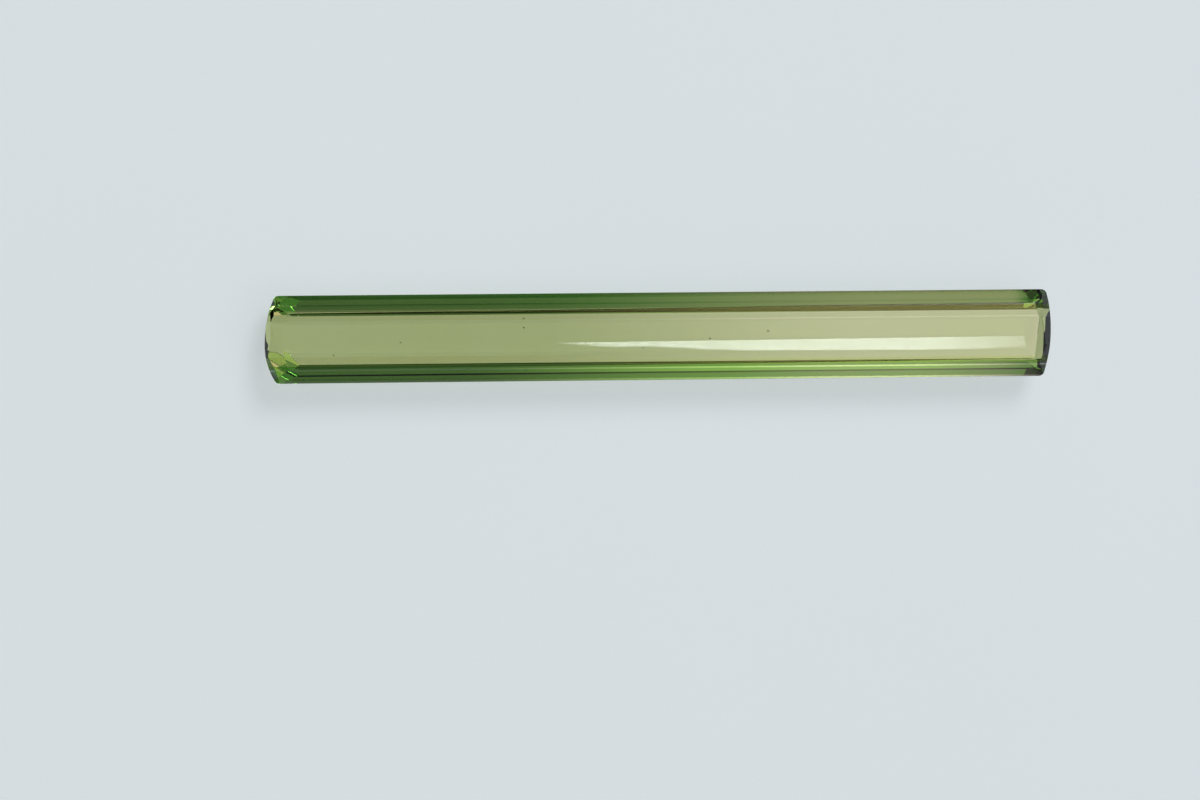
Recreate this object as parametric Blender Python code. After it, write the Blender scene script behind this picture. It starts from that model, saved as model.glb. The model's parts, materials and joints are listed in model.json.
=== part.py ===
"""A cut tourmaline: a slim step-cut bar with curved ends, lying on one of its two main pavilion facets.

The stone is ground as a cutter grinds it. A blank is cut by one plane for each facet: the table and the
crown above the girdle, and the pavilion below it. While it is ground, its length runs along X, its width
along Y and its table faces +Z. A facet's azimuth is the way that it faces round Z, and its slope is its
angle to the table. Lengths are in metres and angles in degrees.
"""

import math

import bmesh
import bpy
from mathutils import Vector

MM = 0.001

# Plan of the stone, seen square on to its table. Back is +Y and front is -Y.
LENGTH = 35.1 * MM
WIDTH = 3.90 * MM
SIDE_TAPER = 0.05  # each long side turns in by this angle towards the +X end

# Each curved end has a tip, its furthest point, one arc on either side of the tip and two round corners.
RIGHT_TIP_Y = 0.30 * MM
RIGHT_BACK_RADIUS = 6.0 * MM
RIGHT_FRONT_RADIUS = 6.8 * MM
LEFT_TIP_Y = -0.25 * MM
LEFT_BACK_RADIUS = 5.4 * MM
LEFT_FRONT_RADIUS = 3.1 * MM
CORNER_RADIUS = 0.25 * MM
ARC_STEP = 3.0
CORNER_STEP = 15.0

# Heights above the girdle's lower edge.
GIRDLE_HEIGHT = 0.18 * MM
TABLE_HEIGHT = 0.65 * MM
BLANK_TOP = 0.80 * MM
BLANK_DEPTH = 2.20 * MM

# Crown: one facet along each long side and two fans of facets over each end. A fan's azimuths are
# measured from the way that the end faces, towards the back.
CROWN_SLOPE = 34.0
CROWN_YAW = 0.30  # the table runs askew to the outline by this angle
OUTER_FAN_SLOPE = 46.0
INNER_FAN_SLOPE = 20.0
RIGHT_OUTER_FAN = (62, 27, 3, -19, -46, -70)
RIGHT_INNER_FAN = (40, 14, -8, -30, -56)
RIGHT_FAN_RISE = 0.24 * MM  # the inner fan's planes meet the outline this far above the girdle
LEFT_OUTER_FAN = (58, 30, 4, -24, -52)
LEFT_INNER_FAN = (42, 14, -14, -28)
LEFT_FAN_RISE = 0.16 * MM

# Pavilion sides: three steps down each side to the keel. A step is its slope, the half width of the stone
# at its outer edge, and a small turn that sets its edges askew.
KEEL_DEPTH = 1.74 * MM
KEEL_OFFSET = 0.21 * MM  # the keel runs this far in front of the middle
BACK_MAIN = (10.0, 0.66 * MM, 0.0)
BACK_MIDDLE = (31.0, 1.05 * MM, 0.0)
FRONT_MAIN = (12.0, 0.66 * MM, 0.5)
FRONT_MIDDLE = (33.0, 1.13 * MM, 0.0)

# Pavilion ends: a steep fan of facets below the girdle and a gentle fan between it and the keel. A facet
# is its angle from the way that the end faces, towards the back, and its slope.
RIGHT_STEEP_FAN = ((52, 60.0), (24, 70.0), (-4, 70.0), (-32, 70.0), (-60, 60.0))
RIGHT_GENTLE_FAN = ((10, 28.0), (-14, 28.0))
RIGHT_FAN_DROP = 1.10 * MM  # the gentle fan's planes meet the outline this far below the girdle
LEFT_STEEP_FAN = ((66, 60.0), (40, 64.0), (14, 78.0), (-12, 78.0), (-44, 60.0), (-66, 50.0))
LEFT_GENTLE_FAN = ((14, 22.0), (-12, 22.0))
LEFT_FAN_DROP = 1.38 * MM

STONE_COLOUR = (0.36, 0.46, 0.13, 1.0)
STONE_IOR = 1.63
STONE_ROUGHNESS = 0.02


def level(azimuth):
    """The level unit vector that points along an azimuth."""
    angle = math.radians(azimuth)
    return Vector((math.cos(angle), math.sin(angle), 0.0))


def from_end(facing, angle):
    """The azimuth at an angle towards the back from the way that an end faces, 1 at +X and -1 at -X."""
    return angle if facing > 0 else 180.0 - angle


def spread(start, stop, step):
    """Angles from start to stop, evenly spaced and about a step apart."""
    count = max(1, round(abs(stop - start) / step))
    return [start + (stop - start) * i / count for i in range(count + 1)]


def half_end(facing, side, tip_y, radius):
    """Half of an end's outline, from its tip to the long side: an arc and a round corner."""
    half_width = WIDTH / 2 - facing * LENGTH / 2 * math.tan(math.radians(SIDE_TAPER))
    run = half_width - side * tip_y
    arc_centre = Vector((facing * (LENGTH / 2 - radius), tip_y, 0.0))
    reach = math.degrees(math.asin((run - CORNER_RADIUS) / (radius - CORNER_RADIUS)))
    corner_centre = arc_centre + level(from_end(facing, side * reach)) * (radius - CORNER_RADIUS)
    arc = [
        arc_centre + level(from_end(facing, side * angle)) * radius
        for angle in spread(0.0, reach, ARC_STEP)
    ]
    corner = [
        corner_centre + level(from_end(facing, side * angle)) * CORNER_RADIUS
        for angle in spread(reach, 90.0, CORNER_STEP)
    ]
    return arc + corner[1:]


def outline():
    """The stone's outline in plan, anticlockwise from above."""
    right_front = half_end(1, -1, RIGHT_TIP_Y, RIGHT_FRONT_RADIUS)
    right_back = half_end(1, 1, RIGHT_TIP_Y, RIGHT_BACK_RADIUS)
    left_back = half_end(-1, 1, LEFT_TIP_Y, LEFT_BACK_RADIUS)
    left_front = half_end(-1, -1, LEFT_TIP_Y, LEFT_FRONT_RADIUS)
    return right_front[::-1] + right_back[1:] + left_back[::-1] + left_front[1:]


def blank(points):
    """A block with the stone's outline."""
    stone = bmesh.new()
    base = stone.faces.new([stone.verts.new((p.x, p.y, -BLANK_DEPTH)) for p in points])
    raised = bmesh.ops.extrude_face_region(stone, geom=[base])["geom"]
    top = [v for v in raised if isinstance(v, bmesh.types.BMVert)]
    bmesh.ops.translate(stone, verts=top, vec=(0.0, 0.0, BLANK_DEPTH + BLANK_TOP))
    bmesh.ops.recalc_face_normals(stone, faces=stone.faces)
    return stone


def grind(stone, point, normal):
    """Cuts away all that lies beyond a plane and closes the cut with one flat facet."""
    everything = stone.verts[:] + stone.edges[:] + stone.faces[:]
    result = bmesh.ops.bisect_plane(
        stone, geom=everything, dist=1e-9, plane_co=point, plane_no=normal, clear_outer=True
    )
    rim = [e for e in result["geom_cut"] if isinstance(e, bmesh.types.BMEdge)]
    if rim:
        bmesh.ops.holes_fill(stone, edges=rim, sides=0)


def facet_normal(azimuth, slope, up):
    """The outward normal of a facet; up is 1 on the crown and -1 on the pavilion."""
    angle = math.radians(slope)
    return level(azimuth) * math.sin(angle) + Vector((0.0, 0.0, up * math.cos(angle)))


def grind_edge_facet(stone, points, azimuth, slope, height, up):
    """Grinds a facet that meets the outline, or would, at a height."""
    out = level(azimuth)
    reach = max(p.dot(out) for p in points)
    grind(stone, out * reach + Vector((0.0, 0.0, height)), facet_normal(azimuth, slope, up))


def grind_crown(stone, points):
    """The table, the facet along each long side and the two fans over each end."""
    grind(stone, Vector((0.0, 0.0, TABLE_HEIGHT)), Vector((0.0, 0.0, 1.0)))
    for side in (1, -1):
        edge = Vector((0.0, side * WIDTH / 2, GIRDLE_HEIGHT))
        grind(stone, edge, facet_normal(side * 90.0 + CROWN_YAW, CROWN_SLOPE, 1))
    for facing, outer, inner, rise in (
        (1, RIGHT_OUTER_FAN, RIGHT_INNER_FAN, RIGHT_FAN_RISE),
        (-1, LEFT_OUTER_FAN, LEFT_INNER_FAN, LEFT_FAN_RISE),
    ):
        for angle in outer:
            azimuth = from_end(facing, angle)
            grind_edge_facet(stone, points, azimuth, OUTER_FAN_SLOPE, GIRDLE_HEIGHT, 1)
        for angle in inner:
            azimuth = from_end(facing, angle)
            grind_edge_facet(stone, points, azimuth, INNER_FAN_SLOPE, GIRDLE_HEIGHT + rise, 1)


def grind_side(stone, side, main, middle):
    """The three steps down one side to the keel. A step is its slope, its outer half width and its yaw."""
    main_slope, main_half_width, main_yaw = main
    middle_slope, middle_half_width, middle_yaw = middle
    keel = Vector((0.0, -KEEL_OFFSET, -KEEL_DEPTH))
    main_run = main_half_width + side * KEEL_OFFSET
    main_depth = KEEL_DEPTH - main_run * math.tan(math.radians(main_slope))
    middle_run = middle_half_width - main_half_width
    middle_depth = main_depth - middle_run * math.tan(math.radians(middle_slope))
    steep_slope = math.degrees(math.atan2(middle_depth, WIDTH / 2 - middle_half_width))
    middle_edge = Vector((0.0, side * middle_half_width, -middle_depth))
    azimuth = side * 90.0
    grind(stone, middle_edge, facet_normal(azimuth, steep_slope, -1))
    grind(stone, middle_edge, facet_normal(azimuth + middle_yaw, middle_slope, -1))
    grind(stone, keel, facet_normal(azimuth + main_yaw, main_slope, -1))


def grind_pavilion(stone, points):
    """The steps down each side and the two fans under each end."""
    grind_side(stone, 1, BACK_MAIN, BACK_MIDDLE)
    grind_side(stone, -1, FRONT_MAIN, FRONT_MIDDLE)
    for facing, steep, gentle, drop in (
        (1, RIGHT_STEEP_FAN, RIGHT_GENTLE_FAN, RIGHT_FAN_DROP),
        (-1, LEFT_STEEP_FAN, LEFT_GENTLE_FAN, LEFT_FAN_DROP),
    ):
        for angle, slope in steep:
            grind_edge_facet(stone, points, from_end(facing, angle), slope, 0.0, -1)
        for angle, slope in gentle:
            grind_edge_facet(stone, points, from_end(facing, angle), slope, -drop, -1)


def lay_down(stone):
    """Turns the stone so that its back main facet faces straight down, and centres it over the origin."""
    rest_normal = facet_normal(90.0, BACK_MAIN[0], -1)
    turn = rest_normal.rotation_difference(Vector((0.0, 0.0, -1.0))).to_matrix()
    bmesh.ops.rotate(stone, verts=stone.verts, cent=(0.0, 0.0, 0.0), matrix=turn)
    lowest = [min(v.co[i] for v in stone.verts) for i in range(3)]
    highest = [max(v.co[i] for v in stone.verts) for i in range(3)]
    centre = Vector(((lowest[0] + highest[0]) / 2, (lowest[1] + highest[1]) / 2, lowest[2]))
    bmesh.ops.translate(stone, verts=stone.verts, vec=-centre)


def stone_material():
    """Clear yellowish green tourmaline."""
    material = bpy.data.materials.new("tourmaline")
    material.use_nodes = True
    shader = material.node_tree.nodes["Principled BSDF"]
    shader.inputs["Base Color"].default_value = STONE_COLOUR
    shader.inputs["Metallic"].default_value = 0.0
    shader.inputs["Roughness"].default_value = STONE_ROUGHNESS
    shader.inputs["IOR"].default_value = STONE_IOR
    shader.inputs["Transmission Weight"].default_value = 1.0
    return material


def main():
    for thing in list(bpy.data.objects):
        bpy.data.objects.remove(thing)
    points = outline()
    stone = blank(points)
    grind_crown(stone, points)
    grind_pavilion(stone, points)
    bmesh.ops.dissolve_degenerate(stone, dist=1e-7, edges=stone.edges)
    lay_down(stone)
    mesh = bpy.data.meshes.new("tourmaline")
    stone.to_mesh(mesh)
    stone.free()
    mesh.materials.append(stone_material())
    bpy.context.scene.collection.objects.link(bpy.data.objects.new("tourmaline", mesh))


main()
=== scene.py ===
"""The looks of the cut tourmaline: clear yellowish green stone on pale paper, seen square on to its table.

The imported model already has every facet, so its mesh is kept. It gets a narrow polished edge between the
facets and a see-through material. Lengths are in metres and angles in degrees.
"""

import json
import math

import bpy
from mathutils import Matrix, Vector

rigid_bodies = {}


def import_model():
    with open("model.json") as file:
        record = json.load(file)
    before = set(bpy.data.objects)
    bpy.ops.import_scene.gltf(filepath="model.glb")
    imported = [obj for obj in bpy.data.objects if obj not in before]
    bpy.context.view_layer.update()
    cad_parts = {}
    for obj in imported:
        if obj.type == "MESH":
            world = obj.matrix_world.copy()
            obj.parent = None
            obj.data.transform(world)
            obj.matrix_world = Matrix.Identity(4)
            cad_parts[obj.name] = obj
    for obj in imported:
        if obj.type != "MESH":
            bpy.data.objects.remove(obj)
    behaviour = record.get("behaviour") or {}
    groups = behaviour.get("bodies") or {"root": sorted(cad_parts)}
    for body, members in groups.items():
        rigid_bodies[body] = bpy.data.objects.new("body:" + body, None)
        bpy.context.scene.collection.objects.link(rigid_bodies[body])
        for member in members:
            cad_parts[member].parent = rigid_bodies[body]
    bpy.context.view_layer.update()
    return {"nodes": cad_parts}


MM = 0.001

# The stone.
TABLE_LEAN = 10.0  # the table leans towards +Y by the slope of the facet that the stone lies on
EDGE_WIDTH = 0.008 * MM
SMALLEST_GAP = 0.001 * MM
FLAT_ANGLE = 1.0  # triangles that turn by less lie in one facet
SHARP_ANGLE = 4.0  # facets that turn by more have a polished edge between them
STONE_IOR = 1.63
ABSORPTION = (100.0, 55.0, 200.0)  # per metre, in red, green and blue

# Tints of the stone's skin, and where they lie; several of them are painted shade. X runs along the stone
# from the middle of its length, Y up the picture from its long axis and Z out of the table from the middle
# of the girdle.
CLEAR = (1.0, 1.0, 1.0, 1.0)
BACK_TINT = (0.59, 0.53, 0.185, 1.0)
BACK_TOP = -0.12 * MM  # the pavilion lies below this Z
BACK_UNEVEN = 0.15
UNEVEN_SCALE = 160.0
BAND_BLUR = 0.03 * MM
CROWN_TINT_AND_SHADE_BANDS = (
    # limits in Y and the tint: the two long crown facets, green from the stone and darkened with painted
    # shade that stands in for their long light paths,
    ((1.28 * MM, 2.10 * MM), (0.32, 0.83, 0.21, 1.0)),
    ((-2.10 * MM, -1.28 * MM), (0.30, 0.83, 0.16, 1.0)),
    # painted shade: a dark line along the upper edge and a dark band beside the lower painted highlight line
    ((1.86 * MM, 2.10 * MM), (0.06, 0.16, 0.05, 1.0)),
    ((-1.36 * MM, -1.20 * MM), (0.12, 0.38, 0.05, 1.0)),
)
LEFT_SHADE_BANDS = (
    # painted shade at the left, where the two sides of the table and the two long crown facets are darker
    ((0.80 * MM, 1.25 * MM), (0.86, 0.84, 0.72, 1.0)),
    ((-1.22 * MM, -0.80 * MM), (0.82, 0.80, 0.66, 1.0)),
    ((1.28 * MM, 2.10 * MM), (0.22, 0.52, 0.15, 1.0)),
    ((-2.10 * MM, -1.28 * MM), (0.16, 0.47, 0.10, 1.0)),
)
# painted shade: the left bands darken the stone towards its left end and fade out along X
LEFT_SHADE_FADE = (-9.0 * MM, 3.0 * MM)  # the left bands are full at the first X and gone at the second
# Painted reflection colour: the gloss along the two sides of the table is tinted yellowish so that the sky's
# sheen there shows as olive light, not white.
PAINTED_GLOSS_TINT = (0.85, 0.95, 0.35, 1.0)
GLOSS_LIMITS = (1.03 * MM, 1.27 * MM)  # distances from the long axis
SPECK_TINT = (0.10, 0.09, 0.04, 1.0)
SPECK_CORE = 1.0 / 3.0  # the fully dark part of a speck's radius
SPECKS = (
    # X, Y and radius in mm
    (4.91, 0.18, 0.075),
    (2.32, -0.13, 0.065),
    (-5.97, 0.84, 0.06),
    (-5.97, 0.43, 0.06),
    (-11.46, -0.18, 0.05),
    (-14.45, -0.72, 0.05),
    (7.07, -1.14, 0.06),
    (-0.67, -0.50, 0.05),
)

# Painted highlight lines along the stone: bands of a strongly reflecting coat where bright lines of light
# show, with their limits in Y and their strengths.
HIGHLIGHT_LINES = (
    ((-1.43 * MM, -1.37 * MM), 1.0),
    ((0.73 * MM, 0.77 * MM), 0.4),
    ((-1.94 * MM, -1.86 * MM), 1.0),
)
# the coat's IOR for the painted highlight lines
HIGHLIGHT_LINE_IOR = 2.3

# The surface that the stone lies on.
FLOOR_SIZE = 2.0
FLOOR_DROP = 0.02 * MM
FLOOR_COLOUR = (0.50, 0.54, 0.58, 1.0)
FLOOR_SHADE = (0.47, 0.51, 0.55, 1.0)
FLOOR_GLOW_COLOUR = (0.90, 0.98, 1.0, 1.0)
FLOOR_GLOW = 0.50
FLOOR_GRAIN = 60.0
FLOOR_DETAIL = 4.0
FLOOR_ROUGHNESS = 0.9
FLOOR_GLOSS = 0.1

# The camera, square on to the table.
IMAGE_WIDTH = 1200
IMAGE_HEIGHT = 800
PIXELS_PER_METRE = 22400.0
CAMERA_DISTANCE = 0.25
CAMERA_ROLL = -0.55
SENSOR_WIDTH = 36.0
NEAREST = 0.01
STONE_PIXEL = (657.7, 336.2)  # where the image shows STONE_CENTRE
STONE_CENTRE = Vector((0.0, 0.006 * MM, 1.776 * MM))  # the middle of the girdle

# The sky's light, from the Z and the X of the direction towards it.
SKY_COLOUR = (0.95, 0.98, 1.0, 1.0)
SKY_HORIZON = 0.22
SKY_ZENITH = 0.43
SKY_RISE = (0.1, 0.9)
SKY_LEFT = 0.14
SKY_RIGHT = 1.10
SKY_TURN = (-0.6, 0.7)

# Soft patches of light in the sky: the colour, the strength and the limits on the X, Y and Z of the
# direction towards it. The light rises from nothing at the first limit to full at the second, stays full
# to the third and is gone at the fourth. A direction's parts lie between -1 and 1, so limits beyond that
# leave a side open.
LONG_STRIP = (
    # the bright wedge that the bottom facets send up through the table
    (0.55, 0.49, 1.0, 1.0),
    18.5,
    ((-0.028, -0.002, 0.048, 0.083), (0.4, 0.6, 2.0, 3.0), (0.604, 0.608, 0.6141, 0.6146)),
)
PATCHES = (
    # the sheen on the table
    (
        (1.0, 0.83, 0.72, 1.0),
        2.9,
        ((-0.018, 0.052, 0.090, 0.150), (0.150, 0.157, 0.191, 0.198), (0.93, 0.97, 2.0, 3.0)),
    ),
    # the sheen on the upper crown
    (
        (1.0, 0.70, 0.50, 1.0),
        2.5,
        ((-0.015, 0.050, 0.0685, 0.0720), (0.90, 0.94, 2.0, 3.0), (0.180, 0.190, 0.226, 0.236)),
    ),
    # the sheen on the lower crown, green, and paler to the right
    (
        (0.65, 1.00, 0.25, 1.0),
        2.0,
        ((-0.022, 0.040, 0.060, 0.082), (-3.0, -2.0, -0.80, -0.75), (0.505, 0.512, 0.548, 0.555)),
    ),
    (
        (1.0, 0.62, 0.68, 1.0),
        1.3,
        ((0.025, 0.050, 0.074, 0.086), (-3.0, -2.0, -0.80, -0.75), (0.505, 0.512, 0.548, 0.555)),
    ),
    # the glow inside the lower crown
    (
        (1.00, 0.85, 0.60, 1.0),
        0.25,
        ((-0.030, 0.020, 0.050, 0.085), (-0.32, -0.27, -0.18, -0.13), (0.90, 0.93, 2.0, 3.0)),
    ),
    # the warm light seen inside the left end
    (
        (1.00, 0.52, 0.60, 1.0),
        0.85,
        ((0.45, 0.58, 0.88, 0.96), (-0.45, -0.35, -0.08, 0.0), (0.45, 0.52, 0.80, 0.88)),
    ),
)

# The long strip's upper edge: it curves down on both sides of a middle X, with a slight wave.
STRIP_MIDDLE = 0.024
STRIP_BEND = 1.25
WAVE_SCALE = 45.0
WAVE_HEIGHT = 0.0012

# The softbox. Its azimuth is measured from +X towards +Y, its zenith angle from straight up.
SOFTBOX_AZIMUTH = 60.0
SOFTBOX_ZENITH = 42.0
SOFTBOX_DISTANCE = 1.0
SOFTBOX_SIZE = 0.40
SOFTBOX_POWER = 3.0


def lean():
    """The three axes of the view: right and up in the picture, and towards the camera."""
    tilt = math.radians(-TABLE_LEAN)
    roll = math.radians(CAMERA_ROLL)
    level = Vector((1.0, 0.0, 0.0))
    rise = Vector((0.0, math.cos(tilt), math.sin(tilt)))
    towards = Vector((0.0, -math.sin(tilt), math.cos(tilt)))
    right = level * math.cos(roll) + rise * math.sin(roll)
    up = rise * math.cos(roll) - level * math.sin(roll)
    return right, up, towards


def new_material(name):
    """An empty node material, its nodes, its links and its output node."""
    material = bpy.data.materials.new(name)
    material.use_nodes = True
    nodes = material.node_tree.nodes
    nodes.clear()
    return material, nodes, material.node_tree.links, nodes.new("ShaderNodeOutputMaterial")


def node(nodes, kind, **settings):
    """A new shader node with its settings."""
    made = nodes.new(kind)
    for setting, value in settings.items():
        setattr(made, setting, value)
    return made


def ramp(nodes, links, value, start, stop, low=0.0, high=1.0):
    """A smooth change from low at start to high at stop. Where stop is below start, it runs backwards."""
    made = node(nodes, "ShaderNodeMapRange", interpolation_type="SMOOTHSTEP")
    made.inputs["From Min"].default_value = start
    made.inputs["From Max"].default_value = stop
    made.inputs["To Min"].default_value = low
    made.inputs["To Max"].default_value = high
    links.new(value, made.inputs["Value"])
    return made.outputs["Result"]


def math_of(nodes, links, operation, *values):
    """The result of a math node. Each of its values is another node's output or a number."""
    made = node(nodes, "ShaderNodeMath", operation=operation)
    for value, socket in zip(values, made.inputs):
        if isinstance(value, float):
            socket.default_value = value
        else:
            links.new(value, socket)
    return made.outputs["Value"]


def times(nodes, links, first, second):
    """The product of two values."""
    return math_of(nodes, links, "MULTIPLY", first, second)


def band(nodes, links, value, limits):
    """1 where a value lies between limits, with blurred edges."""
    low, high = limits
    half = BAND_BLUR / 2.0
    rise = ramp(nodes, links, value, low - half, low + half)
    fall = ramp(nodes, links, value, high + half, high - half)
    return times(nodes, links, rise, fall)


def square_on(nodes, links, source):
    """A place measured square on to the table, split into X, Y and Z."""
    turned = node(nodes, "ShaderNodeMapping", vector_type="TEXTURE")
    turned.inputs["Location"].default_value = STONE_CENTRE
    turned.inputs["Rotation"].default_value = (math.radians(-TABLE_LEAN), 0.0, 0.0)
    split = nodes.new("ShaderNodeSeparateXYZ")
    links.new(source, turned.inputs["Vector"])
    links.new(turned.outputs["Vector"], split.inputs["Vector"])
    return split.outputs


def tinted(nodes, links, under, share, colour):
    """The colour under, a node's output or plain numbers, changed to another as far as a share goes."""
    made = node(nodes, "ShaderNodeMix", data_type="RGBA")
    links.new(share, made.inputs["Factor"])
    if isinstance(under, tuple):
        made.inputs["A"].default_value = under
    else:
        links.new(under, made.inputs["A"])
    made.inputs["B"].default_value = colour
    return made.outputs["Result"]


def speck_share(nodes, links, place):
    """1 in the small flaws seen through the table."""
    flat = nodes.new("ShaderNodeCombineXYZ")
    links.new(place["X"], flat.inputs["X"])
    links.new(place["Y"], flat.inputs["Y"])
    most = 0.0
    for x, y, radius in SPECKS:
        away = node(nodes, "ShaderNodeVectorMath", operation="DISTANCE")
        away.inputs[1].default_value = (x * MM, y * MM, 0.0)
        links.new(flat.outputs["Vector"], away.inputs[0])
        spot = ramp(nodes, links, away.outputs["Value"], radius * MM, radius * MM * SPECK_CORE)
        most = math_of(nodes, links, "MAXIMUM", spot, most)
    return most


def highlight_line_share(nodes, links, place):
    """How strongly the painted highlight lines shine at a place."""
    total = 0.0
    for limits, strength in HIGHLIGHT_LINES:
        line = band(nodes, links, place["Y"], limits)
        total = math_of(nodes, links, "MULTIPLY_ADD", line, strength, total)
    return total


def skin_tint(nodes, links, place, front):
    """The colour of the stone's skin: yellowish behind, greener and darker along its sides with painted
    shade, with painted shade that grows towards the left, and small specks.
    """
    back = ramp(nodes, links, place["Z"], BACK_TOP, BACK_TOP - SMALLEST_GAP)
    along = nodes.new("ShaderNodeCombineXYZ")
    links.new(place["X"], along.inputs["X"])
    uneven = nodes.new("ShaderNodeTexNoise")
    uneven.inputs["Scale"].default_value = UNEVEN_SCALE
    links.new(along.outputs["Vector"], uneven.inputs["Vector"])
    strength = nodes.new("ShaderNodeMapRange")
    strength.inputs["To Min"].default_value = 1.0
    strength.inputs["To Max"].default_value = 1.0 - BACK_UNEVEN
    links.new(uneven.outputs["Fac"], strength.inputs["Value"])
    share = times(nodes, links, back, strength.outputs["Result"])
    colour = tinted(nodes, links, CLEAR, share, BACK_TINT)
    left_shade = times(nodes, links, front, ramp(nodes, links, place["X"], LEFT_SHADE_FADE[1], LEFT_SHADE_FADE[0]))
    for where, bands in ((front, CROWN_TINT_AND_SHADE_BANDS), (left_shade, LEFT_SHADE_BANDS)):
        for limits, tint in bands:
            share = times(nodes, links, where, band(nodes, links, place["Y"], limits))
            colour = tinted(nodes, links, colour, share, tint)
    specks = times(nodes, links, front, speck_share(nodes, links, place))
    return tinted(nodes, links, colour, specks, SPECK_TINT)


def painted_gloss_tint(nodes, links, place, front):
    """The colour of the stone's gloss: white, and painted yellowish along the two sides of the table so that
    the sky's sheen there shows as olive light.
    """
    outward = math_of(nodes, links, "ABSOLUTE", place["Y"])
    share = times(nodes, links, front, band(nodes, links, outward, GLOSS_LIMITS))
    return tinted(nodes, links, CLEAR, share, PAINTED_GLOSS_TINT)


def stone_material():
    """Clear tourmaline that takes most from blue light and least from green."""
    material, nodes, links, output = new_material("clear_tourmaline")
    shader = nodes.new("ShaderNodeBsdfPrincipled")
    shader.inputs["Roughness"].default_value = 0.0
    shader.inputs["IOR"].default_value = STONE_IOR
    shader.inputs["Transmission Weight"].default_value = 1.0
    shader.inputs["Coat Roughness"].default_value = 0.0
    shader.inputs["Coat IOR"].default_value = HIGHLIGHT_LINE_IOR
    where = nodes.new("ShaderNodeTexCoord")
    place = square_on(nodes, links, where.outputs["Object"])
    front = ramp(nodes, links, place["Z"], BACK_TOP - SMALLEST_GAP, BACK_TOP)
    highlight_lines = times(nodes, links, front, highlight_line_share(nodes, links, place))
    links.new(skin_tint(nodes, links, place, front), shader.inputs["Base Color"])
    links.new(painted_gloss_tint(nodes, links, place, front), shader.inputs["Specular Tint"])
    links.new(highlight_lines, shader.inputs["Coat Weight"])
    inside = nodes.new("ShaderNodeVolumeAbsorption")
    density = max(ABSORPTION)
    inside.inputs["Color"].default_value = (*[1.0 - k / density for k in ABSORPTION], 1.0)
    inside.inputs["Density"].default_value = density
    links.new(shader.outputs["BSDF"], output.inputs["Surface"])
    links.new(inside.outputs["Volume"], output.inputs["Volume"])
    return material


def finish_stone(stone):
    """Joins the facets' triangles, and gives the edges between them the narrow round of a real polish."""
    weld = stone.modifiers.new("weld", "WELD")
    weld.merge_threshold = SMALLEST_GAP
    facets = stone.modifiers.new("facets", "DECIMATE")
    facets.decimate_type = "DISSOLVE"
    facets.angle_limit = math.radians(FLAT_ANGLE)
    edges = stone.modifiers.new("edges", "BEVEL")
    edges.width = EDGE_WIDTH
    edges.segments = 1
    edges.limit_method = "ANGLE"
    edges.angle_limit = math.radians(SHARP_ANGLE)
    edges.use_clamp_overlap = False
    stone.data.materials.clear()
    stone.data.materials.append(stone_material())


def paper_material():
    """Matt pale paper, faintly mottled."""
    material, nodes, links, output = new_material("paper")
    shader = nodes.new("ShaderNodeBsdfPrincipled")
    shader.inputs["Roughness"].default_value = FLOOR_ROUGHNESS
    shader.inputs["Specular IOR Level"].default_value = FLOOR_GLOSS
    shader.inputs["Emission Color"].default_value = FLOOR_GLOW_COLOUR
    shader.inputs["Emission Strength"].default_value = FLOOR_GLOW
    place = nodes.new("ShaderNodeTexCoord")
    grain = nodes.new("ShaderNodeTexNoise")
    grain.inputs["Scale"].default_value = FLOOR_GRAIN
    grain.inputs["Detail"].default_value = FLOOR_DETAIL
    shade = node(nodes, "ShaderNodeMix", data_type="RGBA")
    shade.inputs["A"].default_value = FLOOR_SHADE
    shade.inputs["B"].default_value = FLOOR_COLOUR
    links.new(place.outputs["Object"], grain.inputs["Vector"])
    links.new(grain.outputs["Fac"], shade.inputs["Factor"])
    links.new(shade.outputs["Result"], shader.inputs["Base Color"])
    links.new(shader.outputs["BSDF"], output.inputs["Surface"])
    return material


def floor():
    """The paper that the stone lies on."""
    bpy.ops.mesh.primitive_plane_add(size=FLOOR_SIZE, location=(0.0, 0.0, -FLOOR_DROP))
    paper = bpy.context.object
    paper.name = "paper"
    paper.data.materials.append(paper_material())


def strip_height(nodes, links, split):
    """The direction's Z as the long strip takes it, raised beside the middle so that its edge bends down."""
    beside = math_of(nodes, links, "SUBTRACT", split["X"], STRIP_MIDDLE)
    squared = times(nodes, links, beside, beside)
    raised = math_of(nodes, links, "MULTIPLY_ADD", squared, STRIP_BEND, split["Z"])
    wave = node(nodes, "ShaderNodeTexNoise", noise_dimensions="1D")
    wave.inputs["Scale"].default_value = WAVE_SCALE
    links.new(split["X"], wave.inputs["W"])
    return math_of(nodes, links, "MULTIPLY_ADD", wave.outputs["Fac"], WAVE_HEIGHT, raised)


def patch(nodes, links, directions, colour, strength, limits):
    """A soft-edged light in the sky, between limits on the parts of the direction towards it."""
    level = strength
    for direction, (start, full, fading, gone) in zip(directions, limits):
        rise = ramp(nodes, links, direction, start, full)
        fall = ramp(nodes, links, direction, gone, fading)
        level = times(nodes, links, times(nodes, links, rise, fall), level)
    background = nodes.new("ShaderNodeBackground")
    background.inputs["Color"].default_value = colour
    links.new(level, background.inputs["Strength"])
    return background.outputs["Background"]


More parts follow.
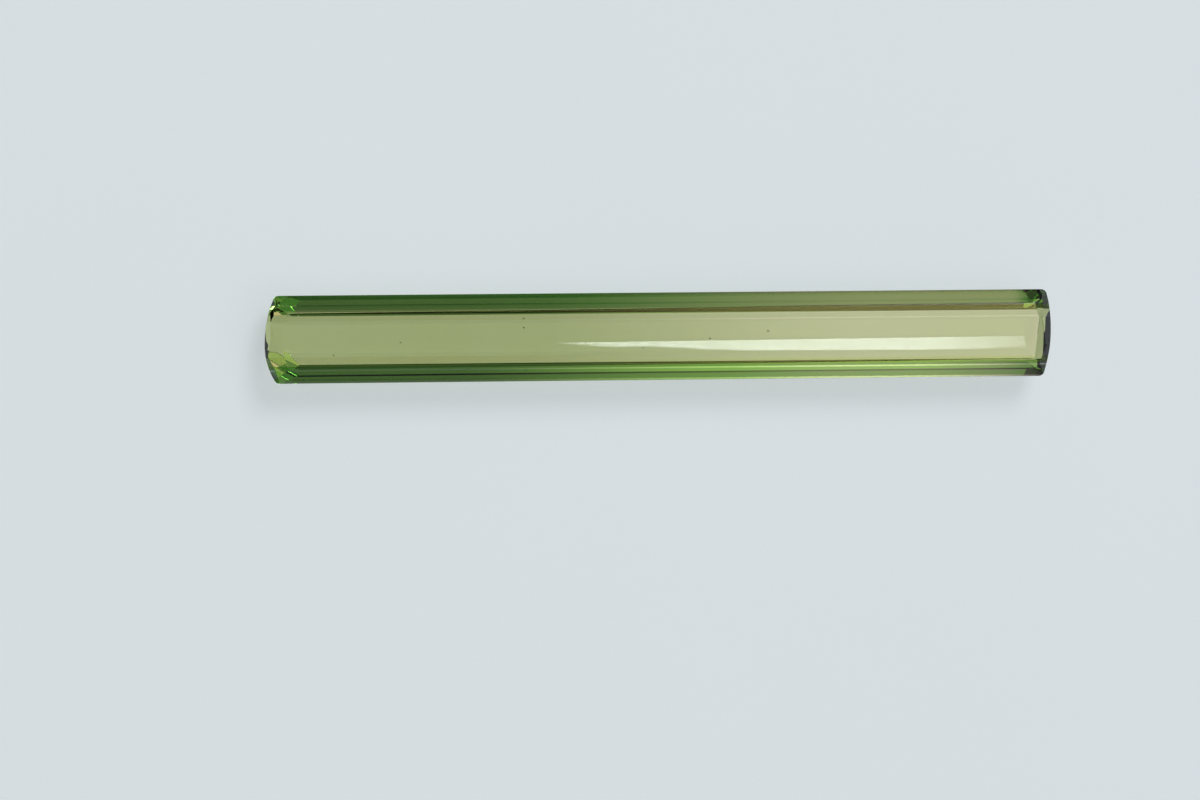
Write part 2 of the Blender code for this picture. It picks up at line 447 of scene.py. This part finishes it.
def sky():
    """A dim studio, brighter overhead and to the right, and the patches of light in it."""
    world = bpy.data.worlds.new("studio")
    bpy.context.scene.world = world
    world.use_nodes = True
    nodes = world.node_tree.nodes
    links = world.node_tree.links
    direction = nodes.new("ShaderNodeTexCoord")
    separate = nodes.new("ShaderNodeSeparateXYZ")
    links.new(direction.outputs["Generated"], separate.inputs["Vector"])
    split = separate.outputs
    rise = ramp(nodes, links, split["Z"], *SKY_RISE, SKY_HORIZON, SKY_ZENITH)
    turn = ramp(nodes, links, split["X"], *SKY_TURN, SKY_LEFT, SKY_RIGHT)
    background = nodes["Background"]
    background.inputs["Color"].default_value = SKY_COLOUR
    links.new(times(nodes, links, rise, turn), background.inputs["Strength"])
    plain = (split["X"], split["Y"], split["Z"])
    curved = (split["X"], split["Y"], strip_height(nodes, links, split))
    total = background.outputs["Background"]
    for directions, settings in ((curved, LONG_STRIP), *((plain, each) for each in PATCHES)):
        both = nodes.new("ShaderNodeAddShader")
        links.new(total, both.inputs[0])
        links.new(patch(nodes, links, directions, *settings), both.inputs[1])
        total = both.outputs["Shader"]
    links.new(total, nodes["World Output"].inputs["Surface"])


def softbox():
    """A round softbox at the upper right that faces the stone."""
    light = bpy.data.lights.new("softbox", "AREA")
    light.shape = "DISK"
    light.size = SOFTBOX_SIZE
    light.energy = SOFTBOX_POWER
    place = bpy.data.objects.new("softbox", light)
    bpy.context.scene.collection.objects.link(place)
    turn = math.radians(SOFTBOX_AZIMUTH)
    fall = math.radians(SOFTBOX_ZENITH)
    away = Vector((math.sin(fall) * math.cos(turn), math.sin(fall) * math.sin(turn), math.cos(fall)))
    place.location = away * SOFTBOX_DISTANCE
    place.rotation_euler = away.to_track_quat("Z", "Y").to_euler()


def camera():
    """A long lens, square on to the table, with the stone where the photograph has it."""
    right, up, towards = lean()
    lens = bpy.data.cameras.new("camera")
    lens.sensor_width = SENSOR_WIDTH
    lens.lens = SENSOR_WIDTH * CAMERA_DISTANCE / (IMAGE_WIDTH / PIXELS_PER_METRE)
    lens.clip_start = NEAREST
    eye = bpy.data.objects.new("camera", lens)
    bpy.context.scene.collection.objects.link(eye)
    aside = (STONE_PIXEL[0] - IMAGE_WIDTH / 2) / PIXELS_PER_METRE
    above = (IMAGE_HEIGHT / 2 - STONE_PIXEL[1]) / PIXELS_PER_METRE
    eye.location = STONE_CENTRE - right * aside - up * above + towards * CAMERA_DISTANCE
    eye.rotation_euler = Matrix((right, up, towards)).transposed().to_euler()
    bpy.context.scene.camera = eye


for thing in list(bpy.data.objects):
    bpy.data.objects.remove(thing)
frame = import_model()
finish_stone(frame["nodes"]["tourmaline"])
floor()
sky()
softbox()
camera()
bpy.context.scene.view_settings.view_transform = "Standard"
